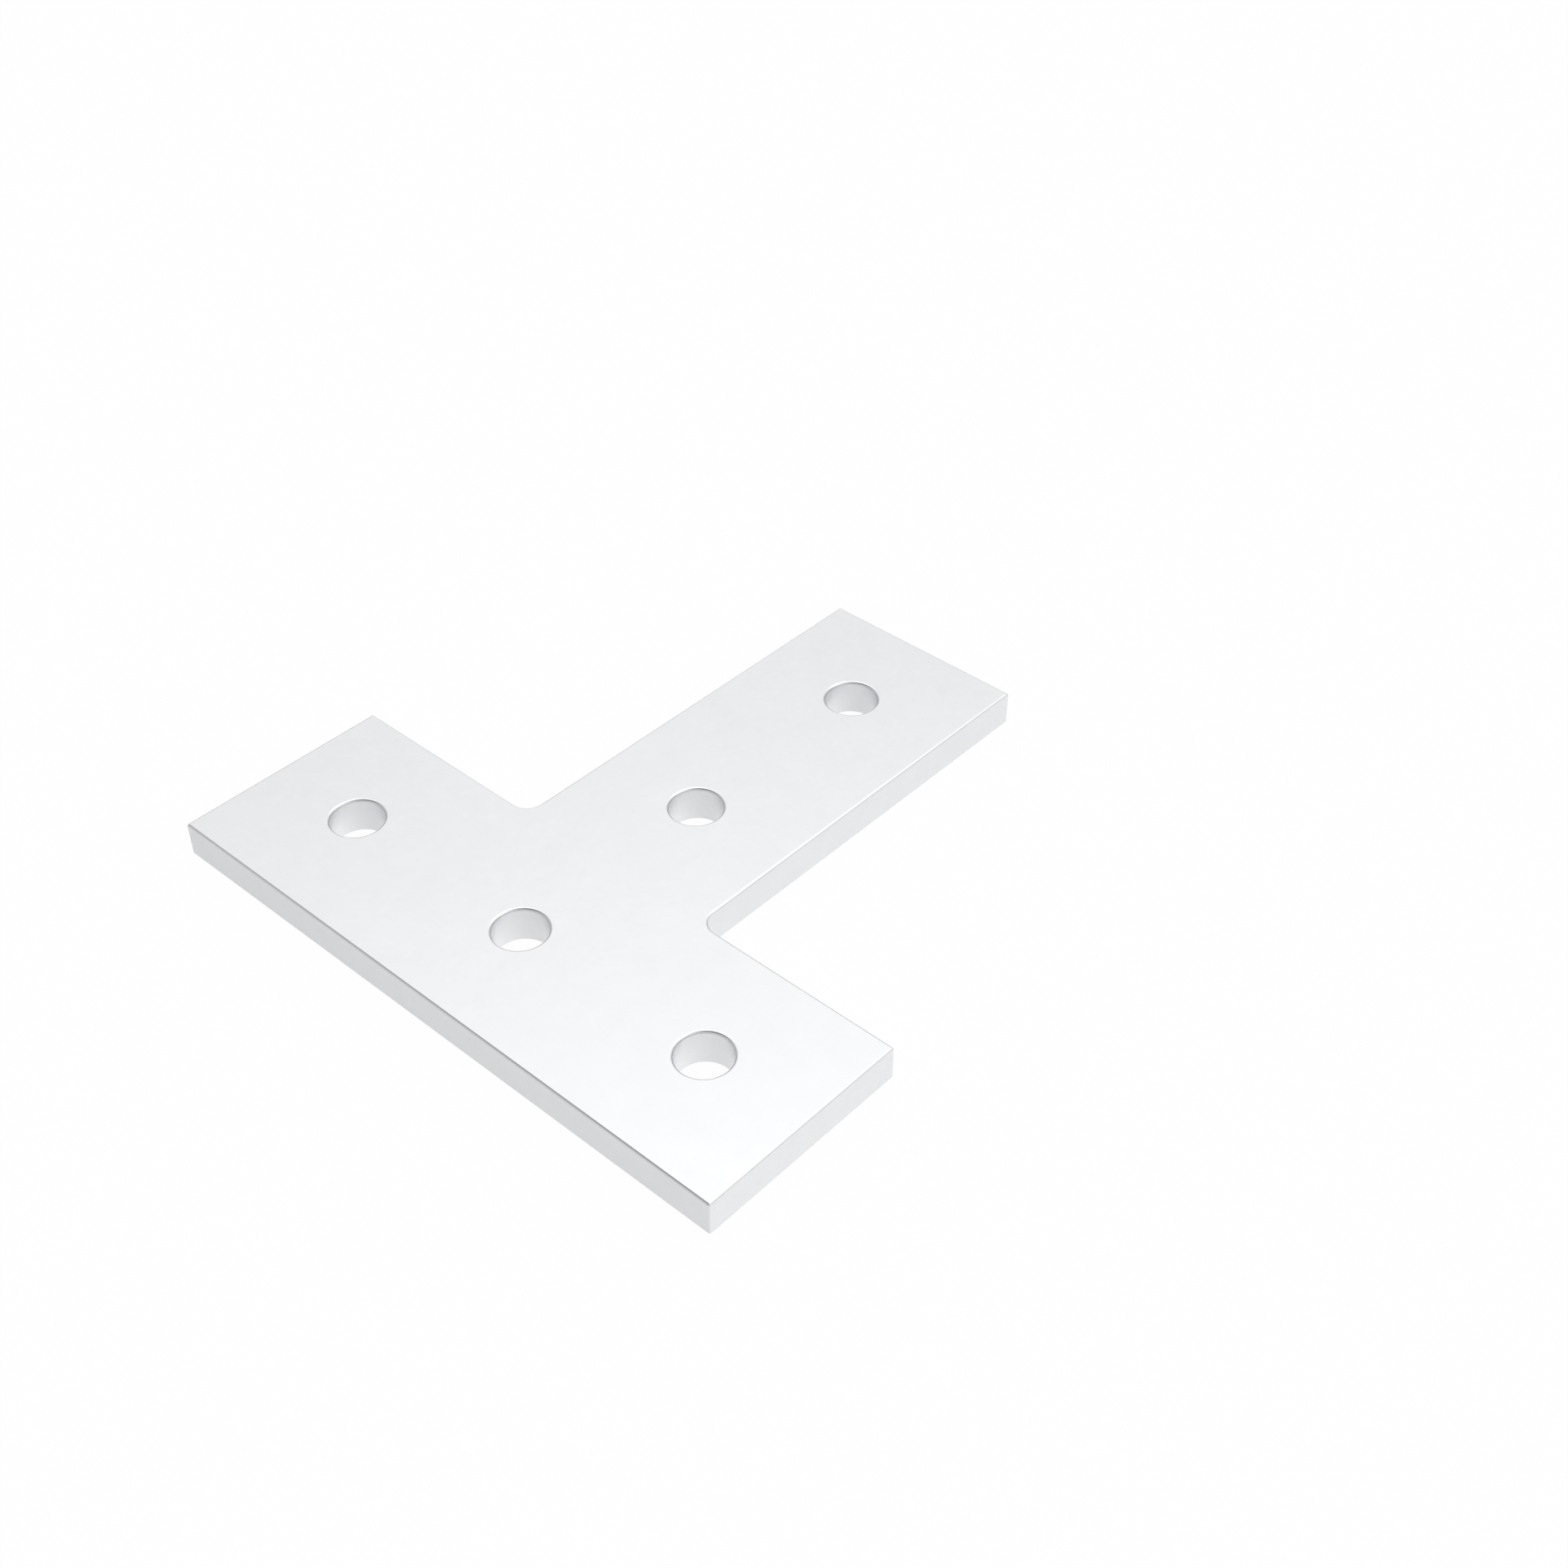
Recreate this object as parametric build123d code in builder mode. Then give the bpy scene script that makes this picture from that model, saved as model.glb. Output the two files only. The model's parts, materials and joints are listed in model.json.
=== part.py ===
"""Tee-shaped joining plate for slotted aluminium extrusion with 30 mm sides.

The plate is one flat piece of aluminium: a crossbar, and a stem that leaves the middle of
one of its long sides. Each square of it has a hole for an M6 bolt, which screws into a nut
in the slot behind. All sizes are in millimetres.

The mating face lies at z = 0 and the plate rises along +Z. The origin is on the axis of the
junction hole, where the centre lines of the crossbar (X) and the stem (+Y) cross.
"""

import os

from build123d import *

# Bolt holes, on the centre lines of the crossbar and the stem.
bolt_hole_diameter = 7.0
crossbar_hole_pitch = 30.0
crossbar_holes_each_side = 1
stem_hole_pitch = 30.0
stem_holes = 2

# Plate.
thickness = 5.0
crossbar_width = 30.0
crossbar_end_margin = 15.0
stem_width = 30.0
stem_end_margin = 15.0
inner_corner_radius = 2.4
outer_corner_radius = 0.2

# Edges softened by tumbling.
face_edge_radius = 0.35
upper_rim_radius = 0.35
lower_rim_radius = 0.1

# Reach of each arm from the junction hole.
crossbar_reach = crossbar_holes_each_side * crossbar_hole_pitch + crossbar_end_margin
stem_reach = stem_holes * stem_hole_pitch + stem_end_margin
crossbar_side = crossbar_width / 2
stem_side = stem_width / 2

# Corners of the tee's +X half, from the crossbar's long side round to the stem's end.
half_outline = [
    ((crossbar_reach, -crossbar_side), outer_corner_radius),
    ((crossbar_reach, crossbar_side), outer_corner_radius),
    ((stem_side, crossbar_side), inner_corner_radius),
    ((stem_side, stem_reach), outer_corner_radius),
]
mirrored_half = [((-x, y), radius) for (x, y), radius in reversed(half_outline)]
outline_corners, outline_radii = zip(*half_outline, *mirrored_half)

crossbar_steps = range(-crossbar_holes_each_side, crossbar_holes_each_side + 1)
crossbar_hole_centres = [(step * crossbar_hole_pitch, 0) for step in crossbar_steps]
stem_hole_centres = [(0, step * stem_hole_pitch) for step in range(1, stem_holes + 1)]

with BuildPart() as joining_plate:
    # The blank, with its two face outlines rounded over.
    with BuildSketch():
        with BuildLine():
            FilletPolyline(*outline_corners, radius=list(outline_radii), close=True)
        make_face()
    extrude(amount=thickness)
    fillet(faces().filter_by(Axis.Z).edges(), radius=face_edge_radius)

    # The bolt holes, with a wider rim on the outer face than on the mating face.
    with Locations(*crossbar_hole_centres, *stem_hole_centres):
        Hole(bolt_hole_diameter / 2)
    fillet(faces().sort_by(Axis.Z)[-1].inner_wires().edges(), radius=upper_rim_radius)
    fillet(faces().sort_by(Axis.Z)[0].inner_wires().edges(), radius=lower_rim_radius)

joining_plate.part.label = "joining_plate"

os.makedirs("parts", exist_ok=True)
export_step(joining_plate.part, "parts/joining_plate.step")
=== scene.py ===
"""Studio scene of the tee-shaped joining plate: its aluminium finish, light, floor and camera."""

import json
import math

import bpy
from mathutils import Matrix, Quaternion, Vector


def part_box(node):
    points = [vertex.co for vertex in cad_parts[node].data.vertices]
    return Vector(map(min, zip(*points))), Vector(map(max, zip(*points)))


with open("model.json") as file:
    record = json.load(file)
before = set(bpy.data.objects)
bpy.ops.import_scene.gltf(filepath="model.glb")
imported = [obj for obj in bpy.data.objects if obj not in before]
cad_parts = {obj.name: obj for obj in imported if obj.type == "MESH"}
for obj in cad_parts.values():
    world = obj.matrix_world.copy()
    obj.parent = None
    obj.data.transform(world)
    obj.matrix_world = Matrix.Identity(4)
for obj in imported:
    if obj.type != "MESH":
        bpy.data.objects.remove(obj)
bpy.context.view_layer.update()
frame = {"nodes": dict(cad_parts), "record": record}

UP = Vector((0.0, 0.0, 1.0))
WHITE = (1.0, 1.0, 1.0, 1.0)

# Plate, from the frame. Its first bore is the junction hole, which is on the origin.
PLATE = frame["nodes"]["joining_plate"]
PLATE_LOW, PLATE_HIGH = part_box("joining_plate")
BORES = [mount for mount in frame["record"]["mounts"] if mount["kind"] == "bore"]
BORE_RADIUS = BORES[0]["dims"]["r_mm"] / 1000.0
BORE_PITCH = min(Vector(bore["pos_m"]).length for bore in BORES[1:])

# Camera, aimed at a point on the plate's outer face.
CAMERA_AZIMUTH = math.radians(42.04)
CAMERA_ELEVATION = math.radians(39.94)
CAMERA_ROLL = math.radians(0.02)
CAMERA_DISTANCE = 0.27609
CAMERA_CLIP = 0.01
CAMERA_TARGET = Vector((0.00526, 0.04069, PLATE_HIGH.z))
CAMERA_LENS_MM = 49.683
SENSOR_WIDTH_MM = 36.0

# Studio dome: a lit side with a soft key lamp, and a dim side. An edge is the cosine of the angle
# to a side where its light begins or is full. Heights are sines of the elevation, and the swing is
# the share by which the dome's level rises towards each axis.
LIT_SIDE = Vector((-0.084, 0.996, -0.082))
DIM_EDGE = -0.85
LIT_EDGE = 0.43
LIT_LEVELS = (0.64, 1.36)
LIT_HEIGHTS = (0.0, 0.96)
DIM_LEVELS = (0.58, 0.02)
DIM_HEIGHTS = (0.19, 0.9)
KEY_SIDE = Vector((-0.256, 0.274, 0.927))
KEY_EDGE = 0.9
KEY_LEVEL = 0.78
DOME_SWING = Vector((0.2, -0.23, 0.0))

# Pale backdrop far behind the plate, and the ground that the metal mirrors below the horizon. Its
# swing is the rise of its level towards each axis.
BACKDROP_SIDE = Vector((-0.67, 0.742, 0.0))
BACKDROP_EDGE = 0.92
BACKDROP_LEVEL = 0.45
GROUND_LEVEL = 0.7
GROUND_SWING = Vector((0.02, 0.17, -0.48))

# Floor. Its glow is the share that the camera sees as plain white. The rest is paint, which takes
# the plate's shadow. The mirrored share is what the metal sees of the ground through it.
FLOOR_SIZE = 6.0
FLOOR_GAP = 0.00002
FLOOR_COLOR = (0.95, 0.95, 0.95, 1.0)
FLOOR_GLOW = 0.98
FLOOR_MIRRORED = 0.9

# Aluminium's colours, from dull to clean, and how much painted shade darkens the bore walls
# towards the dull colour.
DULL_COLOR = (0.838, 0.845, 0.86, 1.0)
CLEAN_COLOR = (0.878, 0.885, 0.9, 1.0)
BORE_PAINTED_SHADE = 0.4

# Its zones. Two go by how level the surface is, from zero on the sides and bore walls to one on
# the faces: where the zone begins, and where it is full. A bore's zone is a radius round its axis.
SIDE_ZONE = (0.45, 0.05)
FACE_ZONE = (0.96, 0.995)
BORE_ZONE = 1.3 * BORE_RADIUS

# Its roughness in each zone, and how much the mottle changes it.
FACE_ROUGHNESS = 0.4
SIDE_ROUGHNESS = 0.58
BORE_ROUGHNESS = 0.4
EDGE_ROUGHNESS = 0.22
ROUGHNESS_SPREAD = 0.1

# Its patterns, each a size in metres and a number of finer layers.
CLOUDS = (0.0035, 3.0)
MOTTLE = (0.0009, 4.0)
GRAIN = (0.00012, 2.0)
SAW_MARKS = (0.00035, 3.0)
DRILL_RINGS = (0.0002, 2.0)
NOISE_MEAN = 0.5

# Its relief, with depths in metres. The mottle's pebbles are so many grains deep, the stretch is a
# mark's width over its length, and worn edges keep that share of it all.
GRAIN_DEPTH = 0.0000015
PEBBLE_GRAINS = 3.0
MARK_DEPTH = 0.000003
MARK_STRETCH = 0.06
WORN_RELIEF = 0.2


def add_camera():
    """Place the camera by azimuth, elevation and distance from its target."""
    level = math.cos(CAMERA_ELEVATION)
    look = Vector(
        (
            -level * math.sin(CAMERA_AZIMUTH),
            level * math.cos(CAMERA_AZIMUTH),
            -math.sin(CAMERA_ELEVATION),
        )
    )
    data = bpy.data.cameras.new("camera")
    data.lens = CAMERA_LENS_MM
    data.sensor_width = SENSOR_WIDTH_MM
    data.clip_start = CAMERA_CLIP
    camera = bpy.data.objects.new("camera", data)
    bpy.context.scene.collection.objects.link(camera)
    camera.location = CAMERA_TARGET - look * CAMERA_DISTANCE
    camera.rotation_mode = "QUATERNION"
    camera.rotation_quaternion = look.to_track_quat("-Z", "Y") @ Quaternion(UP, -CAMERA_ROLL)
    bpy.context.scene.camera = camera


def fill(sockets, values):
    """Set input sockets to numbers, colours or vectors, or link them to other sockets."""
    for socket, value in zip(sockets, values):
        if isinstance(value, bpy.types.NodeSocket):
            socket.id_data.links.new(value, socket)
        else:
            socket.default_value = value


def math_node(tree, operation, *values):
    """A math node's output."""
    node = tree.nodes.new("ShaderNodeMath")
    node.operation = operation
    fill(node.inputs, values)
    return node.outputs["Value"]


def dot_node(tree, first, second):
    """The dot product of two vectors."""
    node = tree.nodes.new("ShaderNodeVectorMath")
    node.operation = "DOT_PRODUCT"
    fill(node.inputs, (first, second))
    return node.outputs["Value"]


def map_node(tree, value, low, high, to_low=0.0, to_high=1.0):
    """The value moved smoothly from one range to another, and held at its ends."""
    node = tree.nodes.new("ShaderNodeMapRange")
    node.interpolation_type = "SMOOTHSTEP"
    fill(node.inputs, (value, low, high, to_low, to_high))
    return node.outputs["Result"]


def mix_node(tree, factor, first, second, kind="FLOAT"):
    """The first value blended into the second one."""
    node = tree.nodes.new("ShaderNodeMix")
    node.data_type = kind
    ends = [socket for socket in node.inputs if socket.enabled]
    fill(ends, (factor, first, second))
    return next(socket for socket in node.outputs if socket.enabled)


def noise_node(tree, place, pattern, stretch=(1.0, 1.0, 1.0)):
    """Soft noise of that pattern, drawn out along each axis whose stretch is below one."""
    size, detail = pattern
    squeeze = tree.nodes.new("ShaderNodeVectorMath")
    squeeze.operation = "MULTIPLY"
    fill(squeeze.inputs, (place, stretch))
    noise = tree.nodes.new("ShaderNodeTexNoise")
    sockets = [noise.inputs[name] for name in ("Vector", "Scale", "Detail")]
    fill(sockets, (squeeze.outputs["Vector"], 1.0 / size, detail))
    return noise.outputs["Fac"]


def shader_node(tree, kind, *values):
    """A shader node's output."""
    node = tree.nodes.new(kind)
    fill(node.inputs, values)
    return node.outputs[0]


def dome_level(tree, direction, height):
    """The level of the dome above the horizon."""
    key = map_node(tree, dot_node(tree, direction, KEY_SIDE), KEY_EDGE, 1.0, 0.0, KEY_LEVEL)
    lit = math_node(tree, "ADD", map_node(tree, height, *LIT_HEIGHTS, *LIT_LEVELS), key)
    dim = map_node(tree, height, *DIM_HEIGHTS, *DIM_LEVELS)
    side = map_node(tree, dot_node(tree, direction, LIT_SIDE), DIM_EDGE, LIT_EDGE)
    level = math_node(tree, "MULTIPLY_ADD", math_node(tree, "SUBTRACT", lit, dim), side, dim)
    swing = math_node(tree, "ADD", dot_node(tree, direction, DOME_SWING), 1.0)
    return math_node(tree, "MULTIPLY", level, swing)


def studio_level(tree):
    """The level of the whole studio: the ground, the dome over it and the backdrop."""
    direction = tree.nodes.new("ShaderNodeTexCoord").outputs["Generated"]
    height = dot_node(tree, direction, UP)
    dome = dome_level(tree, direction, height)
    ground = math_node(tree, "ADD", dot_node(tree, direction, GROUND_SWING), GROUND_LEVEL)
    above = math_node(tree, "GREATER_THAN", height, 0.0)
    rise = math_node(tree, "MULTIPLY", math_node(tree, "SUBTRACT", dome, ground), above)
    far = dot_node(tree, direction, BACKDROP_SIDE)
    backdrop = map_node(tree, far, BACKDROP_EDGE, 1.0, 0.0, BACKDROP_LEVEL)
    return math_node(tree, "ADD", math_node(tree, "ADD", ground, rise), backdrop)


def add_world():
    """Light the plate by the studio, and show the camera plain white behind it."""
    world = bpy.data.worlds.new("studio")
    bpy.context.scene.world = world
    world.use_nodes = True
    tree = world.node_tree
    tree.nodes.clear()
    studio = shader_node(tree, "ShaderNodeBackground", WHITE, studio_level(tree))
    white = shader_node(tree, "ShaderNodeBackground", WHITE, 1.0)
    rays = tree.nodes.new("ShaderNodeLightPath").outputs
    seen = shader_node(tree, "ShaderNodeMixShader", rays["Is Camera Ray"], studio, white)
    output = tree.nodes.new("ShaderNodeOutputWorld")
    tree.links.new(seen, output.inputs["Surface"])


def floor_paint():
    """White paint that keeps a faint shadow, and lets the metal mirror the ground through it."""
    material = bpy.data.materials.new("floor")
    material.use_nodes = True
    tree = material.node_tree
    tree.nodes.clear()
    paint = shader_node(tree, "ShaderNodeBsdfDiffuse", FLOOR_COLOR)
    white = shader_node(tree, "ShaderNodeEmission", WHITE, 1.0)
    ground = shader_node(tree, "ShaderNodeBsdfTransparent", WHITE)
    rays = tree.nodes.new("ShaderNodeLightPath").outputs
    glow = math_node(tree, "MULTIPLY", rays["Is Camera Ray"], FLOOR_GLOW)
    seen = shader_node(tree, "ShaderNodeMixShader", glow, paint, white)
    mirrored = math_node(tree, "MAXIMUM", rays["Is Glossy Ray"], rays["Is Shadow Ray"])
    mirrored = math_node(tree, "MULTIPLY", mirrored, FLOOR_MIRRORED)
    surface = shader_node(tree, "ShaderNodeMixShader", mirrored, seen, ground)
    output = tree.nodes.new("ShaderNodeOutputMaterial")
    tree.links.new(surface, output.inputs["Surface"])
    return material


def add_floor():
    """Lay the floor just under the mating face."""
    height = PLATE_LOW.z - FLOOR_GAP
    bpy.ops.mesh.primitive_plane_add(size=FLOOR_SIZE, location=(0.0, 0.0, height))
    floor = bpy.context.object
    floor.name = "floor"
    floor.data.materials.append(floor_paint())


def bore_mask(tree, place):
    """One on the bore walls and their rims, and zero on the plate's outline."""
    axes = tree.nodes.new("ShaderNodeSeparateXYZ")
    tree.links.new(place, axes.inputs["Vector"])
    half_pitch = BORE_PITCH / 2.0
    across = math_node(tree, "WRAP", axes.outputs["X"], half_pitch, -half_pitch)
    along = math_node(tree, "WRAP", axes.outputs["Y"], half_pitch, -half_pitch)
    along_square = math_node(tree, "MULTIPLY", along, along)
    squares = math_node(tree, "MULTIPLY_ADD", across, across, along_square)
    return math_node(tree, "LESS_THAN", math_node(tree, "SQRT", squares), BORE_ZONE)


def relief(tree, place, on_face, on_side, in_bore, mottle):
    """Grain over saw marks down the sides and drill rings round the bores, worn off the edges."""
    grain = noise_node(tree, place, GRAIN)
    pebbles = math_node(tree, "MULTIPLY_ADD", mottle, PEBBLE_GRAINS, grain)
    saw = noise_node(tree, place, SAW_MARKS, (1.0, 1.0, MARK_STRETCH))
    drill = noise_node(tree, place, DRILL_RINGS, (MARK_STRETCH, MARK_STRETCH, 1.0))
    marks = math_node(tree, "MULTIPLY", mix_node(tree, in_bore, saw, drill), MARK_DEPTH)
    marks = math_node(tree, "MULTIPLY", marks, on_side)
    height = math_node(tree, "MULTIPLY_ADD", pebbles, GRAIN_DEPTH, marks)
    unworn = math_node(tree, "ADD", on_face, on_side)
    bump = tree.nodes.new("ShaderNodeBump")
    bump.inputs["Distance"].default_value = 1.0
    tree.links.new(math_node(tree, "MAXIMUM", unworn, WORN_RELIEF), bump.inputs["Strength"])
    tree.links.new(height, bump.inputs["Height"])
    return bump.outputs["Normal"]


def aluminium():
    """Natural aluminium: satin faces, duller cut sides, drill-marked bores whose walls carry
    painted shade, and edges worn smooth.
    """
    material = bpy.data.materials.new("joining_plate_finish")
    material.use_nodes = True
    tree = material.node_tree
    shader = tree.nodes["Principled BSDF"]
    shader.inputs["Metallic"].default_value = 1.0
    place = tree.nodes.new("ShaderNodeTexCoord").outputs["Object"]
    normal = tree.nodes.new("ShaderNodeNewGeometry").outputs["Normal"]
    level = math_node(tree, "ABSOLUTE", dot_node(tree, normal, UP))
    on_side = map_node(tree, level, *SIDE_ZONE)
    on_face = map_node(tree, level, *FACE_ZONE)
    in_bore = bore_mask(tree, place)
    clouds = noise_node(tree, place, CLOUDS)
    mottle = noise_node(tree, place, MOTTLE)

    tone_and_bore_shade = math_node(tree, "ADD", mottle, math_node(tree, "SUBTRACT", clouds, NOISE_MEAN))
    # Painted shade: the bore walls are darkened towards the dull colour.
    bore_shade_mask = math_node(tree, "MULTIPLY", in_bore, on_side)
    tone_and_bore_shade = math_node(tree, "MULTIPLY_ADD", bore_shade_mask, -BORE_PAINTED_SHADE, tone_and_bore_shade)
    color = mix_node(tree, tone_and_bore_shade, DULL_COLOR, CLEAN_COLOR, "RGBA")
    tree.links.new(color, shader.inputs["Base Color"])

    wall = mix_node(tree, in_bore, SIDE_ROUGHNESS, BORE_ROUGHNESS)
    roughness = mix_node(tree, on_side, EDGE_ROUGHNESS, wall)
    roughness = mix_node(tree, on_face, roughness, FACE_ROUGHNESS)
    uneven = math_node(tree, "SUBTRACT", mottle, NOISE_MEAN)
    roughness = math_node(tree, "MULTIPLY_ADD", uneven, ROUGHNESS_SPREAD, roughness)
    tree.links.new(roughness, shader.inputs["Roughness"])

    bumps = relief(tree, place, on_face, on_side, in_bore, mottle)
    tree.links.new(bumps, shader.inputs["Normal"])
    return material


add_camera()
add_world()
add_floor()
finish = aluminium()
for slot in PLATE.material_slots:
    slot.material = finish

bpy.context.scene.view_settings.view_transform = "Standard"
